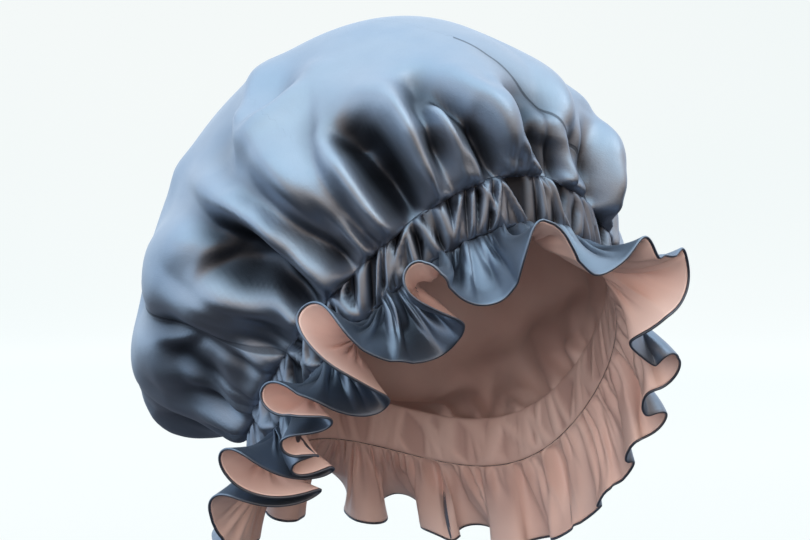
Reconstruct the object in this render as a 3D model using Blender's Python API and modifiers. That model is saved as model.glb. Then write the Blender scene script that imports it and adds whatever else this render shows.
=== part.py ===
"""Sleep bonnet of satin: a puffed crown, a shirred casing and a deep fluted ruffle with a lining.

Metres, +Z up. The face looks along -Y and the wearer's right side is at -X. The origin is the middle of
the band, where the head sits. Angles round the band start at the brow and grow towards +X.
"""

import math

import bpy
import numpy as np

# Band: an oval in a tilted plane, high at the brow, that dips on its way to both ears
BAND_HALF_LENGTH = 0.112
BAND_HALF_WIDTH = 0.087
BAND_TILT = math.radians(35.5)
BAND_EAR_DIP = 0.025
BAND_SKEW = 0.005
NAPE_LIFT = 0.010
EAR_LIFT = 0.014
HEAD_LEAN = math.radians(12.0)

# Cloth and casing
CLOTH = 0.0012
RUFFLE_CLOTH = 0.0010
GAP = 0.0003
CASING_WIDTH = 0.025
CASING_THICKNESS = 0.0040
CASING_PLEAT = 0.0009
CASING_PLEATS = 48

# Crown
CROWN_RISE = 0.173
CROWN_HALF_WIDTH = 0.120
CROWN_FRONT = 0.133
CROWN_BACK = 0.157
CROWN_SAG = 0.026
CROWN_PROFILE = 0.240
FOLD_WIDTH = 0.010
FOLD_DEPTH = 0.008
FOLD_START_STRENGTH = 0.45

# Plain folds round the side and back of the crown that don't show: degrees round the band, shares
# along the crown, and shares of FOLD_WIDTH and FOLD_DEPTH
POUCH_FOLDS = 15
POUCH_START = 54.0
POUCH_END = 240.0
POUCH_LEAN = 3.0
POUCH_REACH = 0.26
POUCH_REACH_SWING = 0.07
POUCH_WIDTH = 1.1
POUCH_WIDTH_SWING = 0.3
POUCH_DENT = -0.8
POUCH_RHYTHM = 1.7

# Ruffle
RUFFLE_DEPTH = 0.043
HEM_EDGE = 0.0015
ROOT_FLARE = 30.0
FLUTE_OPENING = 0.5
HIDDEN_FLUTES = 11

# Flutes that don't show, in degrees: their mean flare, how far it swings, and how far the hem sways.
# At the sides they hang closer to the head by SIDE_HANG of their flare.
PLAIN_FLARE = 54.0
PLAIN_FLARE_SWING = 29.0
PLAIN_SWAY = 3.0
SIDE_HANG = 0.8
PLAIN_VARIETY = 0.15
PLAIN_RHYTHM = 1.9
ROWS_A_FLUTE = 6

# Mesh counts, and how rows draw together towards the band
CROWN_COLUMNS = 84
CROWN_ROWS = 11
CROWN_ROW_SPREAD = 1.15
FOLD_STEPS = 13
CASING_COLUMNS = 144
CASING_SIDES = 6
RUFFLE_COLUMNS = 192
RUFFLE_ROWS = 3
RUFFLE_ROW_SPREAD = 1.3
HEM_SAMPLES = 16
HEM_STEP = 0.001
HEM_ROUNDING = 0.005
TURN_SHARE = 0.010

# Colours: satin, its shaded gathers and the lining
SLATE_BLUE = (0.130, 0.205, 0.310, 1.0)
DEEP_SLATE = (0.100, 0.150, 0.235, 1.0)
DUSTY_PINK = (0.640, 0.390, 0.360, 1.0)

# Sections of the crown from the band to the top. Rise, half width, front, back and sag are shares of
# CROWN_RISE, CROWN_HALF_WIDTH, CROWN_FRONT, CROWN_BACK and CROWN_SAG; lean is a share of the half width.
# along, rise, half width, front, back, sag, lean
CROWN_SECTIONS = (
    (0.10, 0.20, 0.90, 0.99, 0.88, 0.35, -0.050),
    (0.24, 0.37, 1.00, 1.00, 1.00, 0.73, -0.060),
    (0.40, 0.59, 0.92, 0.89, 0.99, 1.00, -0.020),
    (0.56, 0.81, 0.72, 0.71, 0.88, 0.92, -0.030),
    (0.72, 0.93, 0.51, 0.47, 0.68, 0.65, -0.020),
    (0.87, 0.99, 0.28, 0.14, 0.43, 0.38, -0.015),
    (1.00, 1.00, 0.00, -0.26, 0.22, 0.38, -0.015),
)

# Folds that show on the crown, each through three places given as degrees round the band and share
# along the crown. Width and height are shares of FOLD_WIDTH and FOLD_DEPTH; a dent has a negative height.
# start, middle, end, width, height
CROWN_FOLDS = (
    ((-83, 0.50), (-65, 0.24), (-61, 0.03), 0.9, 0.9),
    ((-79, 0.45), (-68, 0.19), (-67, 0.04), 0.9, -1.1),
    ((-77, 0.23), (-71, 0.14), (-67, 0.05), 1.4, -1.0),
    ((-82, 0.15), (-75, 0.10), (-73, 0.03), 0.9, 0.6),
    ((-80, 0.13), (-79, 0.08), (-80, 0.03), 0.9, -0.9),
    ((-96, 0.32), (-88, 0.22), (-81, 0.13), 2.0, 0.8),
    ((-55, 0.38), (-52, 0.14), (-51, 0.02), 0.9, 0.9),
    ((-58, 0.30), (-57, 0.14), (-55, 0.03), 0.8, -1.0),
    ((-54, 0.62), (-57, 0.46), (-56, 0.32), 1.1, 0.5),
    ((-40, 0.45), (-48, 0.40), (-54, 0.34), 1.0, 0.4),
    ((-40, 0.40), (-46, 0.13), (-47, 0.03), 0.8, -1.1),
    ((-38, 0.42), (-42, 0.14), (-41, 0.02), 0.9, 0.7),
    ((-35, 0.25), (-34, 0.15), (-36, 0.03), 1.6, -1.6),
    ((-38, 0.30), (-29, 0.26), (-25, 0.14), 1.2, 0.6),
    ((-20, 0.30), (-21, 0.12), (-23, 0.02), 1.1, 0.8),
    ((-15, 0.24), (-16, 0.10), (-18, 0.02), 0.9, -0.9),
    ((-12, 0.28), (-9, 0.14), (-9, 0.03), 1.0, 0.7),
    ((-3, 0.20), (-4, 0.10), (-4, 0.02), 0.8, -0.6),
    ((5, 0.27), (1, 0.11), (1, 0.02), 0.7, -0.9),
    ((10, 0.24), (8, 0.10), (7, 0.02), 1.1, 0.7),
    ((5, 0.36), (19, 0.12), (26, 0.02), 0.7, -0.5),
    ((15, 0.09), (15, 0.05), (14, 0.01), 0.6, -0.6),
    ((34, 0.25), (33, 0.14), (35, 0.03), 1.2, 0.7),
    ((41, 0.24), (44, 0.15), (44, 0.04), 0.8, -1.0),
    ((-103, 0.33), (-93, 0.14), (-85, 0.02), 0.7, -0.9),
    ((-97, 0.15), (-99, 0.11), (-98, 0.04), 1.3, -1.3),
    ((-106, 0.12), (-103, 0.08), (-101, 0.02), 0.9, 0.6),
    ((-113, 0.15), (-109, 0.08), (-106, 0.02), 1.0, -0.9),
)

# Turns of the hem that show, from the wearer's left brow round to behind the right ear, in degrees:
# where the cloth leaves the casing, where its hem is, and how far the hem flares out from hanging.
# root, hem, flare
HEM_TURNS = (
    (38, 30, 14),
    (36, 31, 34),
    (33, 34, 64),
    (29, 32, 90),
    (26, 26, 72),
    (22, 22, 70),
    (18, 17, 82),
    (13, 12, 62),
    (6, 5, 49),
    (0, -3, 66),
    (-6, -9, 87),
    (-11, -12, 64),
    (-17, -17, 41),
    (-24, -26, 50),
    (-30, -34, 86),
    (-33, -37, 78),
    (-36, -31, 56),
    (-39, -26, 34),
    (-42, -31, 13),
    (-45, -41, 32),
    (-48, -49, 62),
    (-51, -55, 97),
    (-54, -60, 98),
    (-56, -56, 68),
    (-58, -51, 42),
    (-60, -48, 18),
    (-61, -48, 3),
    (-63, -52, 0),
    (-64, -56, 22),
    (-66, -61, 52),
    (-68, -66, 68),
    (-70, -70, 73),
    (-71, -68, 56),
    (-73, -63, 42),
    (-74, -60, 35),
    (-75, -59, 28),
    (-76, -62, 26),
    (-78, -67, 37),
    (-79, -71, 45),
    (-80, -72, 40),
    (-81, -71, 30),
    (-82, -67, 20),
    (-83, -66, 12),
    (-84, -70, 12),
    (-85, -74, 23),
    (-86, -75, 17),
    (-88, -73, 4),
    (-89, -71, -7),
    (-90, -75, -8),
    (-92, -78, 14),
    (-93, -80, 39),
    (-94, -82, 58),
    (-96, -86, 66),
    (-97, -88, 52),
    (-99, -86, 28),
    (-100, -82, 2),
    (-102, -80, -12),
    (-103, -84, -8),
    (-105, -88, 14),
    (-106, -91, 42),
    (-108, -94, 72),
    (-110, -98, 94),
    (-112, -103, 94),
    (-114, -106, 70),
    (-116, -108, 44),
    (-118, -112, 24),
    (-121, -118, 18),
)

LEVEL = np.array((0.0, math.cos(BAND_TILT), -math.sin(BAND_TILT)))
AXIS = np.array((0.0, math.sin(BAND_TILT), math.cos(BAND_TILT)))
SIDE = np.array((1.0, 0.0, 0.0))
UP_THE_HEAD = np.array((0.0, math.sin(HEAD_LEAN), math.cos(HEAD_LEAN)))


def clear_scene():
    """Remove every object, so that the file holds the bonnet alone."""
    for old in list(bpy.data.objects):
        bpy.data.objects.remove(old, do_unlink=True)


def satin(name, colour, roughness):
    """Make a plain satin material."""
    material = bpy.data.materials.new(name)
    material.use_nodes = True
    shader = material.node_tree.nodes["Principled BSDF"]
    shader.inputs["Base Color"].default_value = colour
    shader.inputs["Roughness"].default_value = roughness
    shader.inputs["Metallic"].default_value = 0.0
    return material


def smooth_curve(knots, values, at):
    """Read a smooth curve through the rows of values at the given places."""
    slopes = np.gradient(values, knots, axis=0)
    index = np.clip(np.searchsorted(knots, at, side="right") - 1, 0, len(knots) - 2)
    step = knots[index + 1] - knots[index]
    share = (at - knots[index]) / step
    share, step = share[..., None], step[..., None]
    rise = share * share * (3 - 2 * share)
    leaving = share * (1 - share) ** 2 * step
    arriving = share * share * (share - 1) * step
    start, end = values[index], values[index + 1]
    return start + (end - start) * rise + leaving * slopes[index] + arriving * slopes[index + 1]


def band_dip(angle):
    """Height of the band over its own plane."""
    nape = np.clip(-np.cos(angle), 0.0, 1.0) ** 4
    plain = BAND_EAR_DIP * np.cos(2 * angle) - BAND_SKEW * np.cos(3 * angle)
    return plain + NAPE_LIFT * nape + EAR_LIFT * np.sin(angle) ** 6


def band_point(angle):
    """Middle line of the casing."""
    side = BAND_HALF_WIDTH * np.sin(angle)[..., None] * SIDE
    length = -BAND_HALF_LENGTH * np.cos(angle)[..., None] * LEVEL
    return side + length + band_dip(angle)[..., None] * AXIS


def band_outward(angle):
    """Direction out of the head, square to the band and to the wall of the head."""
    nudge = 1e-4
    along = band_point(angle + nudge) - band_point(angle - nudge)
    outward = np.cross(along, UP_THE_HEAD)
    return outward / np.linalg.norm(outward, axis=-1, keepdims=True)


def grid_object(name, grid, top=None, tube=False):
    """Make a sheet from a grid of points that closes round its first axis, and as a tube round both."""
    columns, rows = grid.shape[:2]
    points = grid.reshape(-1, 3).tolist()
    faces = []
    for column in range(columns):
        following = (column + 1) % columns
        for row in range(rows if tube else rows - 1):
            above = (row + 1) % rows
            faces.append((
                column * rows + row,
                following * rows + row,
                following * rows + above,
                column * rows + above,
            ))
        if top is not None:
            faces.append((column * rows + rows - 1, following * rows + rows - 1, columns * rows))
    if top is not None:
        points.append(tuple(top))
    mesh = bpy.data.meshes.new(name)
    mesh.from_pydata(points, [], faces)
    mesh.shade_smooth()
    return bpy.data.objects.new(name, mesh)


def add_wall(sheet, thickness, side):
    """Give an open sheet its thickness, inwards for -1 and outwards for +1."""
    wall = sheet.modifiers.new("cloth", "SOLIDIFY")
    wall.thickness = thickness
    wall.offset = side


def crown_sections():
    """Sections of the crown in metres, the first one at the top edge of the casing."""
    start = CASING_WIDTH / 2 + CLOTH + GAP
    rows = [(
        0.0,
        start * np.dot(UP_THE_HEAD, AXIS),
        BAND_HALF_WIDTH,
        BAND_HALF_LENGTH - start * np.dot(UP_THE_HEAD, LEVEL),
        BAND_HALF_LENGTH + start * np.dot(UP_THE_HEAD, LEVEL),
        0.0,
        0.0,
    )]
    for along, rise, width, front, back, sag, lean in CROWN_SECTIONS:
        rows.append((
            along,
            rise * CROWN_RISE,
            width * CROWN_HALF_WIDTH,
            front * CROWN_FRONT,
            back * CROWN_BACK,
            sag * CROWN_SAG,
            lean * CROWN_HALF_WIDTH,
        ))
    return np.array(rows)


def crown_base(angle, along):
    """Crown without its folds, at angles round the band and shares along the crown."""
    sections = crown_sections()
    values = smooth_curve(sections[:, 0], sections[:, 1:], along)
    rise, width, front, back, sag, lean = np.moveaxis(values, -1, 0)
    middle = (back - front) / 2
    half_length = (back + front) / 2
    behind = (1 - np.cos(angle)) / 2
    side = lean + width * np.sin(angle)
    level = middle - half_length * np.cos(angle)
    height = rise + band_dip(angle) * (1 - along) ** 3 - sag * behind ** 2
    return side[..., None] * SIDE + level[..., None] * LEVEL + height[..., None] * AXIS


def crown_normal(angle, along):
    """Direction out of the crown."""
    nudge = 1e-3
    lower = np.clip(along - nudge, 0.0, 0.97)
    upper = np.clip(along + nudge, 2 * nudge, 0.98)
    round_band = crown_base(angle + nudge, lower) - crown_base(angle - nudge, lower)
    up_crown = crown_base(angle, upper) - crown_base(angle, lower)
    outward = np.cross(round_band, up_crown)
    return outward / np.linalg.norm(outward, axis=-1, keepdims=True)


def pouch_folds():
    """Plain folds round the side and back of the crown that don't show, each a soft dent from the band."""
    for number in range(POUCH_FOLDS):
        around = POUCH_START + (POUCH_END - POUCH_START) * number / POUCH_FOLDS
        reach = POUCH_REACH + POUCH_REACH_SWING * math.sin(POUCH_RHYTHM * number)
        width = POUCH_WIDTH + POUCH_WIDTH_SWING * math.cos(POUCH_RHYTHM * number)
        yield (around + POUCH_LEAN, reach), (around, reach / 2), (around, 0.0), width, POUCH_DENT


def fold_height(angle, along):
    """Height of all folds over the plain crown."""
    sections = crown_sections()
    radius = np.interp(along, sections[:, 0], (sections[:, 2] + sections[:, 3]) / 2)
    height = np.zeros_like(angle)
    for start, middle, end, width, rise in CROWN_FOLDS + tuple(pouch_folds()):
        nearest = np.full_like(angle, np.inf)
        strength = np.zeros_like(angle)
        for share in np.linspace(0.0, 1.0, FOLD_STEPS):
            places = np.array((start, middle, end))
            weights = np.array(((1 - share) * (1 - 2 * share), 4 * share * (1 - share), share * (2 * share - 1)))
            around, place = weights @ places
            turn = np.angle(np.exp(1j * (angle - math.radians(around))))
            distance = np.hypot(turn * radius, (along - place) * CROWN_PROFILE)
            closer = distance < nearest
            nearest = np.where(closer, distance, nearest)
            fullness = FOLD_START_STRENGTH + (1 - FOLD_START_STRENGTH) * math.sin(math.pi * share)
            strength = np.where(closer, fullness, strength)
        height += rise * FOLD_DEPTH * strength * np.exp(-((nearest / (width * FOLD_WIDTH)) ** 2))
    return height


def build_crown():
    """Puffed bag of satin, open at the band."""
    angles = np.arange(CROWN_COLUMNS) * 2 * math.pi / CROWN_COLUMNS
    shares = (np.arange(CROWN_ROWS) / CROWN_ROWS) ** CROWN_ROW_SPREAD
    angle, along = np.meshgrid(angles, shares, indexing="ij")
    free = np.clip(along / shares[1], 0.0, 1.0)
    height = fold_height(angle, along) * free
    grid = crown_base(angle, along) + height[..., None] * crown_normal(angle, along)
    top = crown_base(np.array(0.0), np.array(1.0))
    crown = grid_object("crown", grid, top)
    add_wall(crown, CLOTH, -1)
    return crown


def build_casing():
    """Shirred channel for the elastic, a padded band with pleats."""
    angles = np.arange(CASING_COLUMNS) * 2 * math.pi / CASING_COLUMNS
    turns = -(np.arange(CASING_SIDES) + 0.5) * 2 * math.pi / CASING_SIDES
    angle, turn = np.meshgrid(angles, turns, indexing="ij")
    pleat = CASING_PLEAT * np.cos(CASING_PLEATS * angle)
    corner = math.cos(math.pi / CASING_SIDES)
    outward = CASING_THICKNESS / 2 * np.sin(turn) + pleat
    upward = CASING_WIDTH / 2 / corner * np.cos(turn)
    grid = band_point(angle) + outward[..., None] * band_outward(angle) + upward[..., None] * UP_THE_HEAD
    return grid_object("casing", grid, tube=True)


def hem_rows():
    """Turns of the whole hem: those that show, and plain flutes round the side and nape that don't."""
    rows = [tuple(row) for row in HEM_TURNS]
    start = HEM_TURNS[-1][0]
    end = HEM_TURNS[0][0] - 360
    count = HIDDEN_FLUTES * ROWS_A_FLUTE
    for number in range(1, count):
        root = start + (end - start) * number / count
        phase = 2 * math.pi * number / ROWS_A_FLUTE
        swing = PLAIN_FLARE_SWING * (1 + PLAIN_VARIETY * math.sin(PLAIN_RHYTHM * number))
        hang = 1 - SIDE_HANG * abs(math.sin(math.radians(root)))
        flare = (PLAIN_FLARE - swing * math.cos(phase)) * hang
        rows.append((root, root - PLAIN_SWAY * math.sin(2 * phase), flare))
    return np.array(rows)


def rounded(course, window):
    """Ease the corners of a closed course by averaging each place with its neighbours."""
    lap = np.array((2 * math.pi, 2 * math.pi, 0.0))
    eased = course
    for _ in range(2):
        total = np.zeros_like(course)
        for shift in range(-window, window + 1):
            moved = np.roll(eased, shift, axis=0)
            if shift > 0:
                moved[:shift] += lap
            if shift < 0:
                moved[shift:] -= lap
            total += moved
        eased = total / (2 * window + 1)
    return eased


def hem_lengths(course):
    """Running length of the hem over a closed course, and how sharply it turns at each step."""
    line = ruffle_point(course, np.array(1.0))
    runs = np.roll(line, -1, axis=0) - line
    steps = np.linalg.norm(runs, axis=1)
    heading = runs / steps[:, None]
    turns = np.linalg.norm(heading - np.roll(heading, 1, axis=0), axis=1)
    return steps, turns


def spread(course, weights, count):
    """Read a closed course at a count of places, evenly by its weights."""
    lap = np.array((2 * math.pi, 2 * math.pi, 0.0))
    running = np.concatenate(((0.0,), np.cumsum(weights)))
    closed = np.vstack((course, course[:1] - lap))
    even = np.arange(count) * running[-1] / count
    return np.stack([np.interp(even, running, closed[:, column]) for column in range(3)], axis=1)


def hem_course():
    """Root, hem and flare in radians at steps along the hem, closer together where it turns."""
    rows = hem_rows()
    lap = np.array((360.0, 360.0, 0.0))
    count = len(rows)
    rows = np.vstack((rows[-3:] + lap, rows, rows[:3] - lap))
    knots = np.arange(len(rows)) - 3.0
    at = np.arange(count * HEM_SAMPLES) / HEM_SAMPLES
    course = np.radians(smooth_curve(knots, rows, at))
    steps = hem_lengths(course)[0]
    samples = round(steps.sum() / HEM_STEP)
    course = rounded(spread(course, steps, samples), round(HEM_ROUNDING / HEM_STEP))
    steps, turns = hem_lengths(course)
    return spread(course, steps + TURN_SHARE * turns, RUFFLE_COLUMNS)


def ruffle_point(course, share):
    """Middle of the ruffle's two layers, at a share of its depth from the casing to the hem."""
    root, hem, flare = course[..., 0], course[..., 1], course[..., 2]
    opening = np.power(share, FLUTE_OPENING)
    angle = root + (hem - root) * share
    lift = math.radians(ROOT_FLARE) + (flare - math.radians(ROOT_FLARE)) * opening
    reach = RUFFLE_DEPTH * share
    outward = (reach * np.sin(lift))[..., None] * band_outward(angle)
    downward = (CASING_WIDTH / 2 + CLOTH + 2 * GAP + reach * np.cos(lift))[..., None] * UP_THE_HEAD
    return band_point(angle) + outward - downward


def build_ruffle_layer(name, side, short_of_hem):
    """One of the two layers of the ruffle, on the given side of their middle surface."""
    course = hem_course()[:, None, :]
    shares = np.linspace(0.0, 1.0, RUFFLE_ROWS + 1)[None, :] ** RUFFLE_ROW_SPREAD
    grid = ruffle_point(np.repeat(course, RUFFLE_ROWS + 1, axis=1), np.repeat(shares, RUFFLE_COLUMNS, axis=0))
    along = np.roll(grid, -1, axis=0) - np.roll(grid, 1, axis=0)
    normal = np.cross(along, np.gradient(grid, axis=1))
    normal /= np.linalg.norm(normal, axis=-1, keepdims=True)
    grid += normal * side * GAP / 2
    last = grid[:, -1] - grid[:, -2]
    grid[:, -1] -= last * short_of_hem / np.linalg.norm(last, axis=-1, keepdims=True)
    layer = grid_object(name, grid)
    add_wall(layer, RUFFLE_CLOTH, side)
    return layer


def main():
    """Build the bonnet in a collection of its own."""
    clear_scene()
    collection = bpy.data.collections.new("sleep_bonnet")
    bpy.context.scene.collection.children.link(collection)
    pieces = (
        (build_crown(), satin("crown_satin", SLATE_BLUE, 0.38)),
        (build_casing(), satin("casing_satin", DEEP_SLATE, 0.42)),
        (build_ruffle_layer("ruffle", 1, 0.0), satin("ruffle_satin", SLATE_BLUE, 0.38)),
        (build_ruffle_layer("ruffle_lining", -1, HEM_EDGE), satin("lining_satin", DUSTY_PINK, 0.45)),
    )
    for piece, material in pieces:
        piece.data.materials.append(material)
        collection.objects.link(piece)


main()
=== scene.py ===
"""Looks of a satin sleep bonnet: puffed crown, shirred casing, lined ruffle and the stitches that hold them.

Metres, +Z up. The bonnet opens forwards and down, along -Y and -Z, and its right side as worn is at -X.
The origin is the middle of the band. Angles round the band start at the front and grow towards +X, and a
share along a piece runs from the band outwards.
"""

import logging
import math
from collections.abc import Iterator
from dataclasses import dataclass
from enum import Enum

import bpy
import numpy as np
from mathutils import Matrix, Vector


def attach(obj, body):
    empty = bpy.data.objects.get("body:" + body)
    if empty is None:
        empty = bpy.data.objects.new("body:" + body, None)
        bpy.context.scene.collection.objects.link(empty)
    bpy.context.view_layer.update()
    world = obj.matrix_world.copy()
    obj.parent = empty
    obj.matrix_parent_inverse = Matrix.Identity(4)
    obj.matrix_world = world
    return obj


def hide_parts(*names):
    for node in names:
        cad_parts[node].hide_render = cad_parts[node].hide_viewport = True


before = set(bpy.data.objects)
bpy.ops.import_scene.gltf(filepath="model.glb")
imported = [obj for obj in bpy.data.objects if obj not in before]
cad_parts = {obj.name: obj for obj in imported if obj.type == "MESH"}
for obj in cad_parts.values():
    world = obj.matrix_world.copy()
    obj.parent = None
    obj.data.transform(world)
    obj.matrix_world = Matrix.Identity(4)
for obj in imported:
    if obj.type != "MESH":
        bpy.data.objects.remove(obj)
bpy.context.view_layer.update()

BODY = "root"
GAP = 0.0003

# Value of the seam attribute where no seam is near, in metres like the rest of it.
NO_SEAM = 1.0

LOG = logging.getLogger("sleep_bonnet")

Array = np.ndarray
Colour = tuple[float, float, float, float]


class Layer(Enum):
    """A layer of the ruffle, by the side of the middle surface that it lies on."""

    OUTER = 1
    LINING = -1


class Fold(Enum):
    """How a fold rises or sinks: its signed share of the height and the power of its fall to the sides."""

    RIDGE = (0.90, 1.8)
    HOLLOW = (-1.0, 2.2)
    CREASE = (-0.95, 1.6)


class Slot(Enum):
    """Material slots of the record."""

    BLUE = "blue_satin"
    CASING = "casing_satin"
    PINK = "pink_satin"


def smooth_curve(knots: Array, values: Array, at: Array) -> Array:
    """Read a smooth curve through rows of values.

    Args:
        knots: Where the rows are, in rising order.
        values: One row of values a knot.
        at: Where the curve is read.

    Returns:
        A row of values for each place, on a new last axis.
    """
    slopes = np.gradient(values, knots, axis=0)
    index = np.clip(np.searchsorted(knots, at, side="right") - 1, 0, len(knots) - 2)
    step = knots[index + 1] - knots[index]
    share = (at - knots[index]) / step
    share, step = share[..., None], step[..., None]
    rise = share * share * (3 - 2 * share)
    leaving = share * (1 - share) ** 2 * step
    arriving = share * share * (share - 1) * step
    start, end = values[index], values[index + 1]
    return start + (end - start) * rise + leaving * slopes[index] + arriving * slopes[index + 1]


def smooth_step(values: Array, low: float, high: float) -> Array:
    """Rise from 0 at low to 1 at high, easing in and out."""
    share = np.clip((values - low) / (high - low), 0.0, 1.0)
    return share * share * (3 - 2 * share)


def signed_power(values: Array, power: float) -> Array:
    """Raise the sizes of values to a power and keep their signs."""
    return np.sign(values) * np.abs(values) ** power


def softened(heights: Array) -> Array:
    """Blur heights on a grid that closes round its first axis, by one step each way.

    Args:
        heights: Heights as columns by rows.

    Returns:
        The blurred heights, with the first and last row as they were across the rows.
    """
    heights = (np.roll(heights, 1, axis=0) + 2 * heights + np.roll(heights, -1, axis=0)) / 4
    inner = (heights[:, :-2] + 2 * heights[:, 1:-1] + heights[:, 2:]) / 4
    return np.concatenate((heights[:, :1], inner, heights[:, -1:]), axis=1)


def unit(vectors: Array) -> Array:
    """Scale vectors on the last axis to a length of one."""
    return vectors / np.linalg.norm(vectors, axis=-1, keepdims=True)


def sheet_normals(grid: Array) -> Array:
    """Work out the directions square to a sheet that closes round its first axis.

    Args:
        grid: Points as columns by rows by three.

    Returns:
        Unit vectors in the same layout, on the side that the columns and rows turn to.
    """
    along = np.roll(grid, -1, axis=0) - np.roll(grid, 1, axis=0)
    return unit(np.cross(along, np.gradient(grid, axis=1)))


@dataclass(frozen=True)
class Band:
    """Oval that the elastic takes when it is worn: high at the front and low at the back."""

    half_length: float = 0.112
    half_width: float = 0.087
    tilt: float = math.radians(35.5)
    ear_dip: float = 0.025
    skew: float = 0.005
    nape_lift: float = 0.010
    ear_lift: float = 0.014
    casing_lean: float = math.radians(12.0)

    @property
    def side(self) -> Array:
        """Direction to the left side as worn."""
        return np.array((1.0, 0.0, 0.0))

    @property
    def level(self) -> Array:
        """Direction in the band's plane from the front to the back."""
        return np.array((0.0, math.cos(self.tilt), -math.sin(self.tilt)))

    @property
    def axis(self) -> Array:
        """Direction square to the band's plane, up into the crown."""
        return np.array((0.0, math.sin(self.tilt), math.cos(self.tilt)))

    @property
    def up(self) -> Array:
        """Direction across the casing, from the ruffle up to the crown."""
        return np.array((0.0, math.sin(self.casing_lean), math.cos(self.casing_lean)))

    def dip(self, angle: Array) -> Array:
        """Height of the band over its own plane.

        Args:
            angle: Angles round the band, in radians.

        Returns:
            Heights in metres.
        """
        nape = np.clip(-np.cos(angle), 0.0, 1.0) ** 4
        plain = self.ear_dip * np.cos(2 * angle) - self.skew * np.cos(3 * angle)
        return plain + self.nape_lift * nape + self.ear_lift * np.sin(angle) ** 6

    def point(self, angle: Array) -> Array:
        """Middle line of the casing.

        Args:
            angle: Angles round the band, in radians.

        Returns:
            Points on a new last axis.
        """
        across = self.half_width * np.sin(angle)[..., None] * self.side
        length = -self.half_length * np.cos(angle)[..., None] * self.level
        return across + length + self.dip(angle)[..., None] * self.axis

    def outward(self, angle: Array) -> Array:
        """Direction out of the casing's outer side, square to the band.

        Args:
            angle: Angles round the band, in radians.

        Returns:
            Unit vectors on a new last axis.
        """
        nudge = 1e-4
        along = self.point(angle + nudge) - self.point(angle - nudge)
        return unit(np.cross(along, self.up))

    @property
    def girth(self) -> float:
        """Length round the band."""
        line = self.point(np.linspace(0.0, 2 * math.pi, 721))
        return float(np.linalg.norm(np.diff(line, axis=0), axis=1).sum())


@dataclass(frozen=True)
class Gathers:
    """Small rounded folds that leave a row of stitches side by side, with sharp creases between them."""

    count: int
    seed: int
    width: float
    height: float
    reach: float
    slant: float
    spread: float = 0.6

    def heights(self, around: Array, away: Array, length: float) -> Array:
        """Height of the folds over the cloth.

        Args:
            around: Distance along the row of stitches, in metres.
            away: Distance from the row, in metres.
            length: Length of the whole row, which closes on itself.

        Returns:
            Height in metres, over the cloth on the crests and under it in the creases.
        """
        draws = np.random.default_rng(self.seed).uniform(-1.0, 1.0, (self.count, 5))
        highest = np.zeros_like(around)
        for number, (shift, lean, width, height, reach) in enumerate(draws):
            middle = (number + 0.45 * shift) / self.count * length
            fade_end = self.reach * (1 + 0.55 * reach)
            apart = around - middle - self.slant * lean * away
            apart = (apart + length / 2) % length - length / 2
            half = self.width * (1 + 0.4 * width) * (1 + self.spread * away / self.reach)
            crest = 1 - (apart / half) ** 2
            fade = 1 - smooth_step(away, 0.15 * fade_end, fade_end)
            highest = np.maximum(highest, self.height * (1 + 0.45 * height) * crest * fade)
        return highest - 0.55 * self.height * (1 - smooth_step(away, 0.15 * self.reach, self.reach))


class Socket:
    """An output of a shader node that adds Math nodes when it is used in an expression."""

    def __init__(self, graph: "Graph", output: bpy.types.NodeSocket) -> None:
        """Keep the graph that holds the output."""
        self.graph = graph
        self.output = output

    def _math(self, operation: str, *values: "Socket | float") -> "Socket":
        """Add a Math node over the values, in their order."""
        node = self.graph.node("ShaderNodeMath", {"operation": operation}, dict(enumerate(values)))
        return Socket(self.graph, node.outputs[0])

    def __add__(self, other: "Socket | float") -> "Socket":
        """Add."""
        return self._math("ADD", self, other)

    __radd__ = __add__

    def __sub__(self, other: "Socket | float") -> "Socket":
        """Take away."""
        return self._math("SUBTRACT", self, other)

    def __rsub__(self, other: float) -> "Socket":
        """Take this from a number."""
        return self._math("SUBTRACT", other, self)

    def __mul__(self, other: "Socket | float") -> "Socket":
        """Multiply."""
        return self._math("MULTIPLY", self, other)

    __rmul__ = __mul__

    def __abs__(self) -> "Socket":
        """Take away the sign."""
        return self._math("ABSOLUTE", self)

    def sine(self) -> "Socket":
        """Sine of an angle in radians."""
        return self._math("SINE", self)

    def eased(self, low: float, high: float) -> "Socket":
        """Ease a value in and out between two limits.

        Args:
            low: Where the result is 0.
            high: Where the result is 1.

        Returns:
            The eased value.
        """
        settings = {"interpolation_type": "SMOOTHSTEP"}
        limits = {"Value": self, "From Min": low, "From Max": high}
        node = self.graph.node("ShaderNodeMapRange", settings, limits)
        return Socket(self.graph, node.outputs[0])


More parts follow.
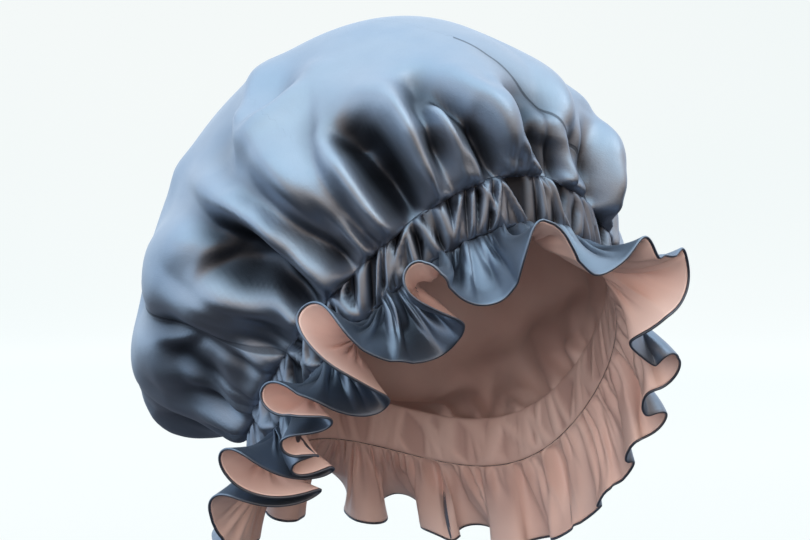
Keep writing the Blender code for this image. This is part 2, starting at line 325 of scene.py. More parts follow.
class Graph:
    """Node tree of a material or a world, with one method that adds any node."""

    # A Mix node's colour sockets share their names with its others, so they are taken by number.
    MIX_LOW = 6
    MIX_HIGH = 7
    MIX_RESULT = 2

    def __init__(self, owner: bpy.types.Material | bpy.types.World) -> None:
        """Turn on the owner's nodes and keep its tree."""
        owner.use_nodes = True
        self.tree = owner.node_tree

    def node(
        self,
        kind: str,
        settings: dict[str, object] | None = None,
        inputs: dict[str | int, object] | None = None,
    ) -> bpy.types.Node:
        """Add a node.

        Args:
            kind: The node's type.
            settings: The node's own options, set first.
            inputs: Values or links for its sockets, by name or number.

        Returns:
            The new node.
        """
        node = self.tree.nodes.new(kind)
        for name, value in (settings or {}).items():
            setattr(node, name, value)
        for name, value in (inputs or {}).items():
            self.feed(node.inputs[name], value)
        return node

    def feed(self, socket: bpy.types.NodeSocket, value: object) -> None:
        """Link a socket to an output, or set its value.

        Args:
            socket: The input that is fed.
            value: A Socket, a node's output or a plain value.
        """
        if isinstance(value, Socket):
            self.tree.links.new(value.output, socket)
        elif isinstance(value, bpy.types.NodeSocket):
            self.tree.links.new(value, socket)
        else:
            socket.default_value = value

    def noise(self, place: bpy.types.NodeSocket, scale: float, detail: float = 2.0) -> Socket:
        """Noise of a scale in features a metre."""
        node = self.node("ShaderNodeTexNoise", None, {"Vector": place, "Scale": scale, "Detail": detail})
        return Socket(self, node.outputs["Fac"])

    def mixed(self, factor: Socket | float, low: object, high: object) -> bpy.types.NodeSocket:
        """Mix two colours.

        Args:
            factor: Share of the second colour.
            low: First colour, a tuple or an output.
            high: Second colour, a tuple or an output.

        Returns:
            The mixed colour's output.
        """
        settings = {"data_type": "RGBA"}
        node = self.node("ShaderNodeMix", settings, {"Factor": factor})
        self.feed(node.inputs[self.MIX_LOW], low)
        self.feed(node.inputs[self.MIX_HIGH], high)
        return node.outputs[self.MIX_RESULT]

    def object_place(self) -> bpy.types.NodeSocket:
        """Object coordinates."""
        return self.node("ShaderNodeTexCoord").outputs["Object"]

    def cloth_place(self) -> tuple[Socket, Socket]:
        """Place on the cloth, from its UV map.

        Returns:
            Distances in metres across and along the flat cloth.
        """
        source = self.node("ShaderNodeUVMap", {"uv_map": "cloth"}).outputs[0]
        parts = self.node("ShaderNodeSeparateXYZ", None, {"Vector": source}).outputs
        return Socket(self, parts["X"]), Socket(self, parts["Y"])

    def attribute(self, name: str) -> Socket:
        """A number kept on the piece's points."""
        node = self.node("ShaderNodeAttribute", {"attribute_name": name})
        return Socket(self, node.outputs["Fac"])


@dataclass(frozen=True)
class Satin:
    """Satin with a soft metallic gloss, a fine grain, a weave too small to count, and shade painted into its
    hollows and along its seams.

    Bump heights, such as grit and groove, are in units of bump_unit.
    """

    name: str
    colour: Colour
    bloom: Colour
    # Dark colour that the satin is painted towards in its hollows and along its seams: a painted shade.
    depth: Colour
    roughness: float
    metallic: float
    sheen: float = 0.0
    sheen_tint: Colour = (1.0, 0.86, 0.80, 1.0)
    sheen_roughness: float = 0.45
    coat: float = 0.0
    coat_roughness: float = 0.32
    clouds_a_metre: float = 22.0
    cloud: float = 0.55
    grains_a_metre: float = 1500.0
    grain: float = 0.16
    grain_roughness: float = 0.22
    grit: float = 1.6
    patches_a_metre: float = 95.0
    patch_roughness: float = 0.10
    wrinkles_a_metre: float = 140.0
    wrinkle: float = 2.4
    # How far the hollows are painted towards the depth colour: the strength of the painted shade.
    shade: float = 0.85
    thread_pitch: float = 0.0006
    weave: float = 0.12
    seam_width: float = 0.0006
    # How far a thin line along each seam is painted towards the depth colour: a painted shadow.
    seam_shade: float = 0.50
    seam_roughness: float = 0.15
    groove: float = 3.0
    bump_strength: float = 0.5
    bump_unit: float = 0.0001

    def material(self) -> bpy.types.Material:
        """Build the satin.

        Returns:
            A material that reads the cloth's UV map, its seam attribute and the attribute that paints shade
            into its hollows.
        """
        material = bpy.data.materials.new(self.name)
        graph = Graph(material)
        shader = graph.tree.nodes["Principled BSDF"]
        place = graph.object_place()
        around, along = graph.cloth_place()
        seam_gap = graph.attribute("seam")

        cloudy = graph.noise(place, self.clouds_a_metre, 3.0).eased(0.35, 0.68)
        grain = graph.noise(place, self.grains_a_metre)
        patch = graph.noise(place, self.patches_a_metre)
        seam = 1 - abs(seam_gap).eased(self.seam_width, 2.2 * self.seam_width)

        cloth = graph.mixed(cloudy * self.cloud, self.colour, self.bloom)
        cloth = graph.mixed(grain.eased(0.42, 0.72) * self.grain, cloth, self.bloom)
        # Painted shadow: a thin line along each seam, and at the ruffle's hem, is darkened towards the depth
        # colour; the groove under it is a real bump.
        cloth = graph.mixed(seam * self.seam_shade, cloth, self.depth)
        # Painted shade: the hollows of the folds are darkened towards the depth colour.
        cloth = graph.mixed(graph.attribute("hollow") * self.shade, cloth, self.depth)
        graph.feed(shader.inputs["Base Color"], cloth)
        rough = self.roughness + (grain - 0.5) * self.grain_roughness
        rough = rough + (patch - 0.5) * self.patch_roughness + seam * self.seam_roughness
        graph.feed(shader.inputs["Roughness"], rough)

        twist = 2 * math.pi / self.thread_pitch
        weave = (around * twist).sine() * 0.5 + (along * (twist / 5) + around * twist).sine() * 0.5
        wrinkle = graph.noise(place, self.wrinkles_a_metre, 3.0)
        height = weave * self.weave + grain * self.grit + wrinkle * self.wrinkle - seam * self.groove
        settings = {"Strength": self.bump_strength, "Distance": self.bump_unit, "Height": height}
        graph.feed(shader.inputs["Normal"], graph.node("ShaderNodeBump", None, settings).outputs[0])

        shader.inputs["Metallic"].default_value = self.metallic
        shader.inputs["Sheen Weight"].default_value = self.sheen
        shader.inputs["Sheen Tint"].default_value = self.sheen_tint
        shader.inputs["Sheen Roughness"].default_value = self.sheen_roughness
        shader.inputs["Coat Weight"].default_value = self.coat
        shader.inputs["Coat Roughness"].default_value = self.coat_roughness
        return material


@dataclass(frozen=True)
class Thread:
    """Polyester sewing thread, twisted and slightly glossy."""

    name: str
    colour: Colour
    twist_pitch: float = 0.0004
    wear_a_metre: float = 400.0
    bump_strength: float = 0.4
    bump_unit: float = 0.0001

    def material(self) -> bpy.types.Material:
        """Build the thread, with its twist as a bump.

        Returns:
            A material that needs no UV map.
        """
        material = bpy.data.materials.new(self.name)
        graph = Graph(material)
        shader = graph.tree.nodes["Principled BSDF"]
        place = graph.object_place()
        parts = graph.node("ShaderNodeSeparateXYZ", None, {"Vector": place}).outputs
        line = Socket(graph, parts["X"]) + Socket(graph, parts["Z"])
        twist = (line * (2 * math.pi / self.twist_pitch)).sine()
        worn = graph.noise(place, self.wear_a_metre).eased(0.4, 0.7)
        pale = tuple(min(1.0, 1.8 * part) for part in self.colour[:3]) + (1.0,)
        graph.feed(shader.inputs["Base Color"], graph.mixed(worn * 0.5, self.colour, pale))
        graph.feed(shader.inputs["Roughness"], 0.5 + worn * 0.15)
        settings = {"Strength": self.bump_strength, "Distance": self.bump_unit, "Height": twist}
        graph.feed(shader.inputs["Normal"], graph.node("ShaderNodeBump", None, settings).outputs[0])
        return material


SATIN_BLUE = Satin(
    "crown_satin",
    colour=(0.300, 0.352, 0.440, 1.0),
    bloom=(0.375, 0.400, 0.460, 1.0),
    # depth: colour of the painted shade in the hollows and along the seams.
    depth=(0.014, 0.016, 0.024, 1.0),
    roughness=0.44,
    metallic=0.93,
)
SATIN_CASING = Satin(
    "casing_satin",
    colour=(0.215, 0.245, 0.310, 1.0),
    bloom=(0.290, 0.310, 0.355, 1.0),
    # depth and shade: colour and strength of the painted shade in the creases.
    depth=(0.012, 0.014, 0.020, 1.0),
    roughness=0.40,
    metallic=0.93,
    grit=0.5,
    shade=0.95,
)
# The ruffle's outer layer is the crown's blue satin; this copy is painted darker all over, a painted shade,
# and its depth and shade paint its root creases and hem darker still.
SATIN_RUFFLE_SHADED = Satin(
    "ruffle_satin",
    colour=(0.185, 0.222, 0.290, 1.0),
    bloom=(0.260, 0.285, 0.335, 1.0),
    depth=(0.010, 0.012, 0.020, 1.0),
    roughness=0.43,
    metallic=0.92,
    grit=1.0,
    shade=0.95,
)
SATIN_PINK = Satin(
    "lining_satin",
    colour=(0.820, 0.590, 0.530, 1.0),
    bloom=(0.900, 0.710, 0.650, 1.0),
    # depth and shade: colour and strength of the painted shade in the hollows and along the seams.
    depth=(0.420, 0.240, 0.220, 1.0),
    roughness=0.48,
    metallic=0.0,
    sheen=0.20,
    coat=0.03,
    grain=0.06,
    grit=0.5,
    shade=0.45,
)
THREAD = Thread("seam_thread", colour=(0.045, 0.060, 0.095, 1.0))


def settled(piece: bpy.types.Object) -> bpy.types.Object:
    """Turn a piece with live modifiers into a plain mesh.

    Args:
        piece: The object, linked to the scene.

    Returns:
        The same object, with the modified mesh and no modifiers.
    """
    bpy.context.view_layer.update()
    depsgraph = bpy.context.evaluated_depsgraph_get()
    mesh = bpy.data.meshes.new_from_object(piece.evaluated_get(depsgraph))
    piece.modifiers.clear()
    piece.data = mesh
    return piece


def cloth_object(
    name: str,
    grid: Array,
    cloth: Array,
    top: Array | None = None,
    tube: bool = False,
    numbers: dict[str, Array] | None = None,
) -> bpy.types.Object:
    """Make a sheet that closes round its first axis, or a tube that closes round both.

    Args:
        grid: Points as columns by rows by three.
        cloth: Places on the flat cloth in metres, as columns plus one by rows by two.
        top: A last point that closes the rows, where there is one.
        tube: Whether the rows close on themselves as well.
        numbers: Values kept on the points, by attribute name, as columns by rows.

    Returns:
        The linked object, smooth, with its UV map and attributes.
    """
    columns, rows = grid.shape[:2]
    column, row = np.meshgrid(np.arange(columns), np.arange(rows if tube else rows - 1), indexing="ij")
    column, row = column.ravel(), row.ravel()
    following, above = (column + 1) % columns, (row + 1) % rows
    corners = ((column, row), (following, row), (following, above), (column, above))
    faces = np.stack([around * rows + up for around, up in corners], axis=1).tolist()
    places = np.stack((
        cloth[column, row],
        cloth[column + 1, row],
        cloth[column + 1, above],
        cloth[column, above],
    ), axis=1).reshape(-1, 2)
    points = grid.reshape(-1, 3).tolist()
    if top is not None:
        last = rows - 1
        ring = np.arange(columns)
        faces += [(one * rows + last, ((one + 1) % columns) * rows + last, columns * rows) for one in ring]
        points.append(tuple(top))
        middle = (cloth[:-1, last] + cloth[1:, last]) / 2
        cap = np.stack((cloth[ring, last], cloth[ring + 1, last], middle), axis=1).reshape(-1, 2)
        places = np.concatenate((places, cap))
    mesh = bpy.data.meshes.new(name)
    mesh.from_pydata(points, [], faces)
    mesh.uv_layers.new(name="cloth").data.foreach_set("uv", places.ravel())
    for title, values in (numbers or {}).items():
        flat = values.ravel()
        if top is not None:
            flat = np.append(flat, flat[-1])
        mesh.attributes.new(title, "FLOAT", "POINT").data.foreach_set("value", flat)
    mesh.shade_smooth()
    piece = bpy.data.objects.new(name, mesh)
    bpy.context.scene.collection.objects.link(piece)
    return piece


def thicken(piece: bpy.types.Object, thickness: float, side: float, inner: int = 0) -> bpy.types.Object:
    """Give a sheet its thickness and settle it.

    Args:
        piece: The sheet.
        thickness: Thickness of the cloth.
        side: -1 inwards, 0 both ways, 1 outwards.
        inner: Material slot of the side that is added.

    Returns:
        The same object as a closed mesh.
    """
    wall = piece.modifiers.new("cloth", "SOLIDIFY")
    wall.thickness = thickness
    wall.offset = side
    wall.material_offset = inner
    return settled(piece)


def dress(piece: bpy.types.Object, slot: Slot, *nodes: str) -> None:
    """Let a piece ride on the body and stand for its solids.

    Args:
        piece: The finished object.
        slot: The record's slot; not used.
        nodes: The solids that it stands for.
    """
    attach(piece, BODY)
    if nodes:
        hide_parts(*nodes)
    LOG.info("%s: %d faces", piece.name, len(piece.data.polygons))


CROWN_SECTIONS = (
    # along, rise, half width, front, back, sag, lean
    (0.10, 0.20, 0.90, 0.99, 0.88, 0.35, -0.050),
    (0.24, 0.37, 1.00, 1.00, 1.00, 0.73, -0.060),
    (0.40, 0.59, 0.92, 0.89, 0.99, 1.00, -0.020),
    (0.56, 0.81, 0.72, 0.71, 0.88, 0.92, -0.030),
    (0.72, 0.93, 0.51, 0.47, 0.68, 0.65, -0.020),
    (0.87, 0.99, 0.28, 0.14, 0.43, 0.38, -0.015),
    (1.00, 1.00, 0.00, -0.26, 0.22, 0.38, -0.015),
)

# Mean of the sag's shape over a whole turn, the height at which the crown closes.
MEAN_BEHIND = 3 / 8

CROWN_FOLDS = (
    # start, middle and end as (degrees round the band, share along the crown), width, height, kind
    ((-83, 0.50), (-65, 0.24), (-61, 0.01), 0.7, 1.0, Fold.RIDGE),
    ((-79, 0.45), (-68, 0.19), (-67, 0.02), 0.8, 1.2, Fold.CREASE),
    ((-75, 0.21), (-73, 0.14), (-75, 0.05), 1.10, 1.35, Fold.HOLLOW),
    ((-86, 0.13), (-78, 0.09), (-74, 0.02), 0.8, 0.7, Fold.RIDGE),
    ((-74, 0.15), (-70, 0.08), (-69, 0.01), 0.7, 0.7, Fold.CREASE),
    ((-92, 0.36), (-82, 0.30), (-74, 0.20), 1.2, 0.5, Fold.RIDGE),
    ((-55, 0.38), (-52, 0.14), (-51, 0.02), 0.8, 1.0, Fold.RIDGE),
    ((-58, 0.30), (-57, 0.14), (-55, 0.03), 0.8, 1.1, Fold.CREASE),
    ((-51, 0.58), (-54, 0.46), (-57, 0.34), 0.7, 0.8, Fold.RIDGE),
    ((-39, 0.43), (-46, 0.37), (-54, 0.32), 0.7, 0.8, Fold.RIDGE),
    ((-62, 0.48), (-64, 0.40), (-63, 0.30), 1.0, 0.40, Fold.HOLLOW),
    ((-45, 0.50), (-48, 0.45), (-51, 0.40), 0.9, 0.30, Fold.HOLLOW),
    ((-40, 0.40), (-46, 0.13), (-47, 0.03), 0.8, 1.2, Fold.CREASE),
    ((-38, 0.42), (-42, 0.14), (-41, 0.01), 0.8, 0.9, Fold.RIDGE),
    ((-37, 0.28), (-34, 0.15), (-37, 0.00), 1.05, 1.7, Fold.HOLLOW),
    ((-38, 0.30), (-29, 0.26), (-25, 0.14), 1.1, 0.7, Fold.RIDGE),
    ((-24, 0.26), (-26, 0.13), (-27, 0.02), 0.6, 0.6, Fold.RIDGE),
    ((-19, 0.28), (-21, 0.15), (-22, 0.02), 0.50, 0.95, Fold.HOLLOW),
    ((-17, 0.24), (-17, 0.12), (-18, 0.03), 0.35, 0.5, Fold.RIDGE),
    ((-17, 0.29), (-13, 0.16), (-11, 0.02), 0.62, 1.0, Fold.HOLLOW),
    ((-9, 0.27), (-5, 0.14), (-4, 0.03), 0.8, 0.8, Fold.RIDGE),
    ((1, 0.24), (0, 0.12), (1, 0.02), 0.5, 0.6, Fold.RIDGE),
    ((6, 0.22), (6, 0.12), (9, 0.02), 0.80, 1.3, Fold.HOLLOW),
    ((29, 0.22), (28, 0.13), (29, 0.03), 0.65, 1.0, Fold.HOLLOW),
    ((5, 0.36), (19, 0.12), (26, 0.02), 0.7, 0.6, Fold.CREASE),
    ((15, 0.09), (15, 0.05), (14, 0.01), 0.6, 0.7, Fold.CREASE),
    ((34, 0.25), (33, 0.14), (35, 0.03), 1.1, 0.8, Fold.RIDGE),
    ((41, 0.24), (44, 0.15), (44, 0.04), 0.8, 1.0, Fold.CREASE),
    ((-103, 0.33), (-93, 0.14), (-85, 0.02), 0.7, 0.9, Fold.CREASE),
    ((-97, 0.15), (-99, 0.11), (-98, 0.04), 1.3, 1.3, Fold.HOLLOW),
    ((-106, 0.12), (-103, 0.08), (-101, 0.02), 0.9, 0.7, Fold.RIDGE),
    ((-113, 0.15), (-109, 0.08), (-106, 0.02), 1.0, 0.9, Fold.CREASE),
)

CROWN_SEAMS = (
    # places of a panel seam as (degrees round the band, share along the crown)
    ((-2, 0.43), (5, 0.36), (9, 0.28), (18, 0.12), (23, 0.09), (26, 0.06), (26, 0.00)),
    ((-104, 0.36), (-98, 0.25), (-94, 0.17), (-90, 0.11), (-89, 0.07), (-84, 0.00)),
)


@dataclass
class Crown:
    """Puffed bag of satin, open at the band, blue outside and pink inside.

    The stitches keep the folds flat over stitch_hold, and the swell above them fades over pucker_reach.
    """

    band: Band
    casing_width: float = 0.025
    clearance: float = -0.0020
    wall: float = 0.0008
    rise: float = 0.173
    half_width: float = 0.120
    front: float = 0.133
    back: float = 0.157
    sag: float = 0.026
    profile: float = 0.240
    fold_width: float = 0.011
    fold_depth: float = 0.0110
    pouch_folds: int = 15
    columns: int = 470
    rows: int = 102
    row_spread: float = 1.40
    billow: float = 0.0035
    flat_diameter: float = 0.50
    pucker: float = 0.0050
    pucker_reach: float = 0.030
    stitch_hold: float = 0.0022
    # Fold depth at which the painted shade of a hollow is full.
    hollow_shade_depth: float = 0.0110
    level_from: float = 0.72
    line_places: int = 13
    gathers: tuple[Gathers, ...] = (
        Gathers(count=112, seed=11, width=0.0031, height=0.0036, reach=0.016, slant=0.40),
        Gathers(count=58, seed=12, width=0.0062, height=0.0055, reach=0.040, slant=0.40),
        Gathers(count=30, seed=13, width=0.0110, height=0.0060, reach=0.085, slant=0.35),
    )

    def sections(self) -> Array:
        """Sections of the crown.

        Returns:
            Rows as in CROWN_SECTIONS in metres, with one more at the top edge of the casing.
        """
        start = self.casing_width / 2 + self.clearance + GAP
        over = start * float(np.dot(self.band.up, self.band.level))
        height = start * float(np.dot(self.band.up, self.band.axis))
        band = self.band
        rows = [(0.0, height, band.half_width, band.half_length - over, band.half_length + over, 0.0, 0.0)]
        scale = (1.0, self.rise, self.half_width, self.front, self.back, self.sag, self.half_width)
        rows += [tuple(part * size for part, size in zip(row, scale)) for row in CROWN_SECTIONS]
        return np.array(rows)

    def plain(self, angle: Array, along: Array) -> Array:
        """Crown without its folds.

        Args:
            angle: Angles round the band, in radians.
            along: Shares along the crown.

        Returns:
            Points on a new last axis.
        """
        sections = self.sections()
        values = smooth_curve(sections[:, 0], sections[:, 1:], along)
        rise, width, front, back, sag, lean = np.moveaxis(values, -1, 0)
        behind = ((1 - np.cos(angle)) / 2) ** 2
        behind = behind + (MEAN_BEHIND - behind) * smooth_step(along, self.level_from, 1.0)
        across = lean + width * np.sin(angle)
        level = (back - front) / 2 - (back + front) / 2 * np.cos(angle)
        height = rise + self.band.dip(angle) * (1 - along) ** 3 - sag * behind
        band = self.band
        return across[..., None] * band.side + level[..., None] * band.level + height[..., None] * band.axis

    def normal(self, angle: Array, along: Array) -> Array:
        """Direction out of the crown.

        Args:
            angle: Angles round the band, in radians.
            along: Shares along the crown.

        Returns:
            Unit vectors on a new last axis.
        """
        nudge = 1e-3
        lower = np.clip(along - nudge, 0.0, 0.97)
        upper = np.clip(along + nudge, 2 * nudge, 0.98)
        round_band = self.plain(angle + nudge, lower) - self.plain(angle - nudge, lower)
        up_crown = self.plain(angle, upper) - self.plain(angle, lower)
        return unit(np.cross(round_band, up_crown))

    def plain_folds(self) -> Iterator[tuple]:
        """Folds round the side and back that don't show, each a soft dent from the band.

        Yields:
            Rows as in CROWN_FOLDS.
        """
        first, last, rhythm = 54.0, 240.0, 1.7
        for number in range(self.pouch_folds):
            around = first + (last - first) * number / self.pouch_folds
            reach = 0.26 + 0.07 * math.sin(rhythm * number)
            width = 1.1 + 0.3 * math.cos(rhythm * number)
            yield (around + 3, reach), (around, reach / 2), (around, 0.0), width, 0.8, Fold.HOLLOW

    def radius(self, along: Array) -> Array:
        """Mean radius of the crown at shares along it."""
        sections = self.sections()
        return np.interp(along, sections[:, 0], (sections[:, 2] + sections[:, 3]) / 2)

    def line_gap(self, angle: Array, along: Array, line: Array) -> tuple[Array, Array, Array]:
        """Measure over the crown to the nearest place of a line.

        Args:
            angle: Angles round the band, in radians.
            along: Shares along the crown.
            line: Places of the line as degrees round the band and shares along the crown.

        Returns:
            The distances, how far along the line the nearest places are, and on which side they are.
        """
        turns, places = np.radians(line[:, 0]), line[:, 1] * self.profile
        middle = turns.mean()
        radius = self.radius(along)
        across = np.angle(np.exp(1j * (angle - middle))) * radius
        up = along * self.profile
        nearest = np.full_like(angle, np.inf)
        share, side = np.zeros_like(angle), np.ones_like(angle)
        for number in range(len(line) - 1):
            start_across = (turns[number] - middle) * radius
            run_across = (turns[number + 1] - turns[number]) * radius
            run_up = places[number + 1] - places[number]
            gap_across, gap_up = across - start_across, up - places[number]
            reach = run_across ** 2 + run_up ** 2 + 1e-12
            part = np.clip((gap_across * run_across + gap_up * run_up) / reach, 0.0, 1.0)
            gap_across, gap_up = gap_across - part * run_across, gap_up - part * run_up
            gap = np.hypot(gap_across, gap_up)
            closer = gap < nearest
            nearest = np.where(closer, gap, nearest)
            share = np.where(closer, (number + part) / (len(line) - 1), share)
            side = np.where(closer, np.sign(run_across * gap_up - run_up * gap_across), side)
        return nearest, share, side

    def folds(self, angle: Array, along: Array) -> Array:
        """Large folds, each fullest on its way to the band.

        Args:
            angle: Angles round the band, in radians.
            along: Shares along the crown.

        Returns:
            Heights over the plain crown.
        """
        height = np.zeros_like(angle)
        steps = np.linspace(0.0, 1.0, self.line_places)[:, None]
        weights = np.hstack(((1 - steps) * (1 - 2 * steps), 4 * steps * (1 - steps), steps * (2 * steps - 1)))
        for start, middle, end, width, rise, kind in CROWN_FOLDS + tuple(self.plain_folds()):
            line = weights @ np.array((start, middle, end), dtype=float)
            nearest, share, _ = self.line_gap(angle, along, line)
            fullness = smooth_step(share, -0.35, 0.42) * (1 - 0.35 * smooth_step(share, 0.75, 1.0))
            sign, power = kind.value
            half = width * self.fold_width * (0.75 + 0.5 * (1 - share))
            height += sign * rise * self.fold_depth * fullness * np.exp(-((nearest / half) ** power))
        return height

    def billows(self, angle: Array, along: Array) -> Array:
        """Soft swells over the side and back that don't show.

        Args:
            angle: Angles round the band, in radians.
            along: Shares along the crown.

        Returns:
            Heights over the plain crown.
        """
        hidden = smooth_step(-np.cos(angle - math.radians(-33.0)), -0.1, 0.7)
        waves = np.sin(8 * angle + 2 * np.sin(4 * math.pi * along)) + 0.6 * np.sin(5 * angle - 9 * along)
        return self.billow * waves * hidden * smooth_step(along, 0.0, 0.3) * smooth_step(1 - along, 0.15, 0.6)

    def seam_gap(self, angle: Array, along: Array) -> Array:
        """Measure how far the nearest panel seam is.

        Args:
            angle: Angles round the band, in radians.
            along: Shares along the crown.

        Returns:
            Distances over the crown, with the side of the seam as their sign.
        """
        nearest = np.full_like(angle, np.inf)
        signed = np.ones_like(angle)
        for places in CROWN_SEAMS:
            rows = np.array(places, dtype=float)
            at = np.linspace(0.0, len(rows) - 1.0, 40)
            line = smooth_curve(np.arange(len(rows), dtype=float), rows, at)
            gap, share, side = self.line_gap(angle, along, line)
            closer = gap < nearest
            nearest = np.where(closer, gap, nearest)
            beyond = 0.02 * ((share <= 0.0) | (share >= 1.0))
            signed = np.where(closer, side * (gap + beyond), signed)
        return signed

    def build(self) -> bpy.types.Object:
        """Model the bag with its folds and gathers.

        Returns:
            The closed mesh, with the satin outside and the lining inside.
        """
        angles = np.arange(self.columns) * 2 * math.pi / self.columns
        shares = (np.arange(self.rows) / self.rows) ** self.row_spread
        angle, along = np.meshgrid(angles, shares, indexing="ij")
        away = along * self.profile
        around = angle / (2 * math.pi) * self.band.girth
        free = 1 - np.exp(-away / self.stitch_hold)
        height = self.folds(angle, along) * free
        for gathers in self.gathers:
            height += gathers.heights(around, away, self.band.girth) * free
        height = softened(height + self.billows(angle, along))
        # Painted shade: the deeper a fold sinks, the darker the satin is painted there.
        hollow = smooth_step(-height, 0.0, self.hollow_shade_depth)
        height += self.pucker * (free - 1 + np.exp(-away / self.pucker_reach))
        grid = self.plain(angle, along) + height[..., None] * self.normal(angle, along)
        turns, reaches = np.meshgrid(
            np.arange(self.columns + 1) * 2 * math.pi / self.columns,
            (1 - shares) * self.flat_diameter / 2,
            indexing="ij",
        )
        cloth = np.stack((reaches * np.cos(turns), reaches * np.sin(turns)), axis=-1)
        top = self.plain(np.array(0.0), np.array(1.0))
        numbers = {"seam": self.seam_gap(angle, along), "hollow": hollow}
        crown = cloth_object("crown_satin", grid, cloth, top=top, numbers=numbers)
        crown.data.materials.append(SATIN_BLUE.material())
        crown.data.materials.append(SATIN_PINK.material())
        return thicken(crown, self.wall, -1, inner=1)

    def dress(self, crown: bpy.types.Object) -> None:
        """Put the bag in the place of its solid.

        Args:
            crown: The finished bag.
        """
        dress(crown, Slot.BLUE, "crown")


@dataclass
class Casing:
    """Shirred channel for the elastic, closely folded between two rows of stitches."""

    band: Band
    width: float = 0.025
    thickness: float = 0.0040
    columns: int = 1300
    sides: int = 34
    edge_power: float = 0.75
    bulge_power: float = 0.6
    # Fold height range over which the creases are painted darker: a painted shade.
    hollow_shade_range: float = 0.0018
    fill: float = 0.4
    gathers: tuple[Gathers, ...] = (
        Gathers(count=88, seed=21, width=0.0042, height=0.0040, reach=0.200, slant=0.50, spread=0.0),
        Gathers(count=44, seed=22, width=0.0056, height=0.0056, reach=0.200, slant=1.00, spread=0.0),
    )

    def swell(self, around: Array, across: Array) -> Array:
        """Small folds between the rows of stitches.

        Args:
            around: Distances round the band, in metres.
            across: Places across the casing, from -1 at the ruffle to 1 at the crown.

        Returns:
            Heights over the plain casing.
        """
        away = (across + 1) / 2 * self.width
        heights = [gathers.heights(around, away, self.band.girth) for gathers in self.gathers]
        held = np.clip(1 - np.abs(across) ** 6, 0.0, 1.0)
        return np.max(heights, axis=0) * held

    def build(self) -> bpy.types.Object:
        """Model the ring as a flat tube whose outer side is folded and whose inner side is lined.

        Returns:
            The closed mesh.
        """
        angles = np.arange(self.columns) * 2 * math.pi / self.columns
        turns = -(np.arange(self.sides) + 0.5) * 2 * math.pi / self.sides
        angle, turn = np.meshgrid(angles, turns, indexing="ij")
        across = signed_power(np.cos(turn), self.edge_power)
        around = angle / (2 * math.pi) * self.band.girth
        bulge = signed_power(np.sin(turn), self.bulge_power)
        facing = smooth_step(-np.sin(turn), -0.2, 0.35)
        swell = self.swell(around, across)
        side = np.where(np.sin(turn) < 0, -1.0, 1.0)
        folded = side * swell * np.abs(np.sin(turn)) ** 0.5 * (0.3 + 0.7 * facing)
        outward = self.thickness / 2 * bulge + folded
        place = self.band.point(angle) - outward[..., None] * self.band.outward(angle)
        grid = place + (across * self.width / 2)[..., None] * self.band.up
        edges = np.arange(self.columns + 1) / self.columns * self.band.girth
        lengths = turns / (2 * math.pi) * 2 * self.width
        cloth = np.stack(np.meshgrid(edges, lengths, indexing="ij"), axis=-1)
        # Painted shade: the creases between the small folds are painted darker.
        hollow = smooth_step(-swell, -self.hollow_shade_range, self.hollow_shade_range)
        numbers = {"seam": np.full_like(angle, NO_SEAM), "hollow": hollow}
        casing = cloth_object("casing_satin", grid, cloth, tube=True, numbers=numbers)
        casing.data.materials.append(SATIN_CASING.material())
        casing.data.materials.append(SATIN_PINK.material())
        sides = np.arange(self.columns * self.sides) % self.sides
        casing.data.polygons.foreach_set("material_index", (sides >= self.sides // 2).astype(np.int32))
        return casing

    def dress(self, casing: bpy.types.Object) -> None:
        dress(casing, Slot.CASING, "casing")


HEM_TURNS = (
    # root, hem and flare in degrees: where the cloth leaves the casing, where its hem is, how far it flares
    (38, 30, 14),
    (36, 31, 34),
    (33, 34, 64),
    (29, 32, 90),
    (26, 26, 72),
    (22, 22, 70),
    (18, 17, 82),
    (13, 12, 62),
    (6, 5, 49),
    (0, -3, 66),
    (-6, -9, 87),
    (-11, -12, 64),
    (-17, -17, 41),
    (-24, -26, 50),
    (-30, -34, 86),
    (-33, -37, 78),
    (-36, -31, 56),
    (-39, -26, 34),
    (-42, -31, 13),
    (-45, -41, 32),
    (-48, -49, 62),
    (-51, -55, 97),
    (-54, -60, 98),
    (-56, -56, 68),
    (-58, -51, 42),
    (-60, -48, 18),
    (-61, -48, 3),
    (-63, -52, 0),
    (-64, -56, 22),
    (-66, -61, 52),
    (-68, -66, 68),
    (-70, -70, 73),
    (-71, -68, 56),
    (-73, -63, 42),
    (-74, -60, 35),
    (-75, -59, 28),
    (-76, -62, 26),
    (-78, -67, 37),
    (-79, -71, 45),
    (-80, -72, 40),
    (-81, -71, 30),
    (-82, -67, 20),
    (-83, -66, 12),
    (-84, -70, 12),
    (-85, -74, 23),
    (-86, -75, 17),
    (-88, -73, 4),
    (-89, -71, -7),
    (-90, -75, -8),
    (-92, -78, 14),
    (-93, -80, 39),
    (-94, -82, 58),
    (-96, -86, 66),
    (-97, -88, 52),
    (-99, -86, 28),
    (-100, -82, 2),
    (-102, -80, -12),
    (-103, -84, -8),
    (-105, -88, 14),
    (-106, -91, 38),
    (-108, -94, 50),
    (-110, -98, 52),
    (-112, -102, 46),
    (-114, -105, 37),
    (-116, -108, 29),
    (-118, -112, 22),
    (-121, -118, 18),
)


